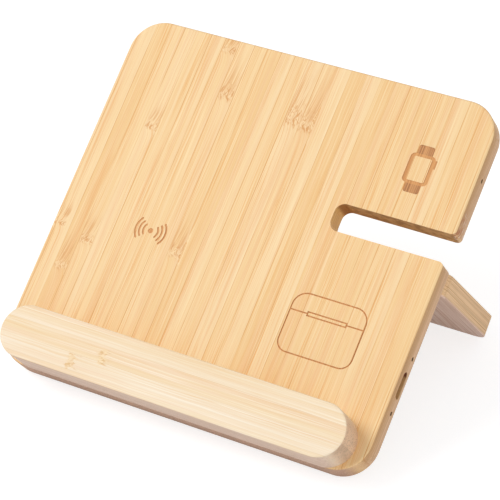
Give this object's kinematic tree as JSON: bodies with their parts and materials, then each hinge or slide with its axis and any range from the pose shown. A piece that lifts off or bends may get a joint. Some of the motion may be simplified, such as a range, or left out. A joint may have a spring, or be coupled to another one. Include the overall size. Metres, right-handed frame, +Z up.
{
  "type": "charging station organizer",
  "caption": "Tilted bamboo charging stand with a slotted board, a front ledge, a folding support leg, wireless charging places and a power inlet in its right side.",
  "frame": {"origin": "middle of the stand's bounding box in X and Y, on the surface that it stands on", "axes": "+Z up, front faces -Y, +X to the right seen from the front, along the board's bottom edge"},
  "size_m": [0.18, 0.1472, 0.1171],
  "materials": {
    "board_bamboo": "satin laminated bamboo, grain up the slope",
    "ledge_bamboo": "satin bamboo, grain along the ledge",
    "leg_bamboo": "satin laminated bamboo",
    "cover_bamboo": "satin bamboo",
    "dowel_wood": "bare",
    "hinge_steel": "plated",
    "pin_steel": "plain",
    "screw_steel": "zinc plated",
    "foot_rubber": "matte",
    "coil_copper": "enamelled copper wire",
    "ferrite": "dull",
    "magnet_nickel": "nickel plated",
    "circuit_board": "solder mask",
    "shell_steel": "plated",
    "tongue_plastic": "moulded",
    "chip_plastic": "moulded",
    "inductor_ferrite": "dull",
    "capacitor_ceramic": "ceramic",
    "connector_plastic": "moulded",
    "lamp_plastic": "clear resin",
    "guide_plastic": "clear",
    "lead_plastic": "insulation"
  },
  "bodies": {
    "stand": {"main_board": "board_bamboo", "front_ledge": "ledge_bamboo", "ledge_dowels": "dowel_wood", "left_hinge_board_leaf": "hinge_steel", "right_hinge_board_leaf": "hinge_steel", "left_hinge_pin": "pin_steel", "right_hinge_pin": "pin_steel", "hinge_board_screws": "screw_steel", "back_cover": "cover_bamboo", "cover_screws": "screw_steel", "board_feet": "foot_rubber", "phone_coil": "coil_copper", "phone_ferrite": "ferrite", "earbuds_coil": "coil_copper", "earbuds_ferrite": "ferrite", "watch_coil": "coil_copper", "watch_ferrite": "ferrite", "watch_magnet": "magnet_nickel", "main_pcb": "circuit_board", "pcb_screws": "screw_steel", "usb_shell": "shell_steel", "usb_tongue": "tongue_plastic", "pcb_chips": "chip_plastic", "pcb_inductors": "inductor_ferrite", "pcb_capacitors": "capacitor_ceramic", "lead_connectors": "connector_plastic", "port_leds": "lamp_plastic", "watch_pcb": "circuit_board", "watch_driver_chip": "chip_plastic", "watch_led": "lamp_plastic", "watch_connectors": "connector_plastic", "light_guides": "guide_plastic", "phone_leads": "lead_plastic", "earbuds_leads": "lead_plastic", "watch_leads": "lead_plastic", "watch_coil_leads": "lead_plastic"},
    "leg": {"support_leg": "leg_bamboo", "left_hinge_leg_leaf": "hinge_steel", "right_hinge_leg_leaf": "hinge_steel", "hinge_leg_screws": "screw_steel", "leg_feet": "foot_rubber"}
  },
  "joints": [
    {"name": "leg_fold", "type": "hinge", "parent": "stand", "child": "leg", "pos_m": [0, 0.01017, 0.05533], "axis": [-1, 0, 0], "range_deg": [0, 94]}
  ]
}
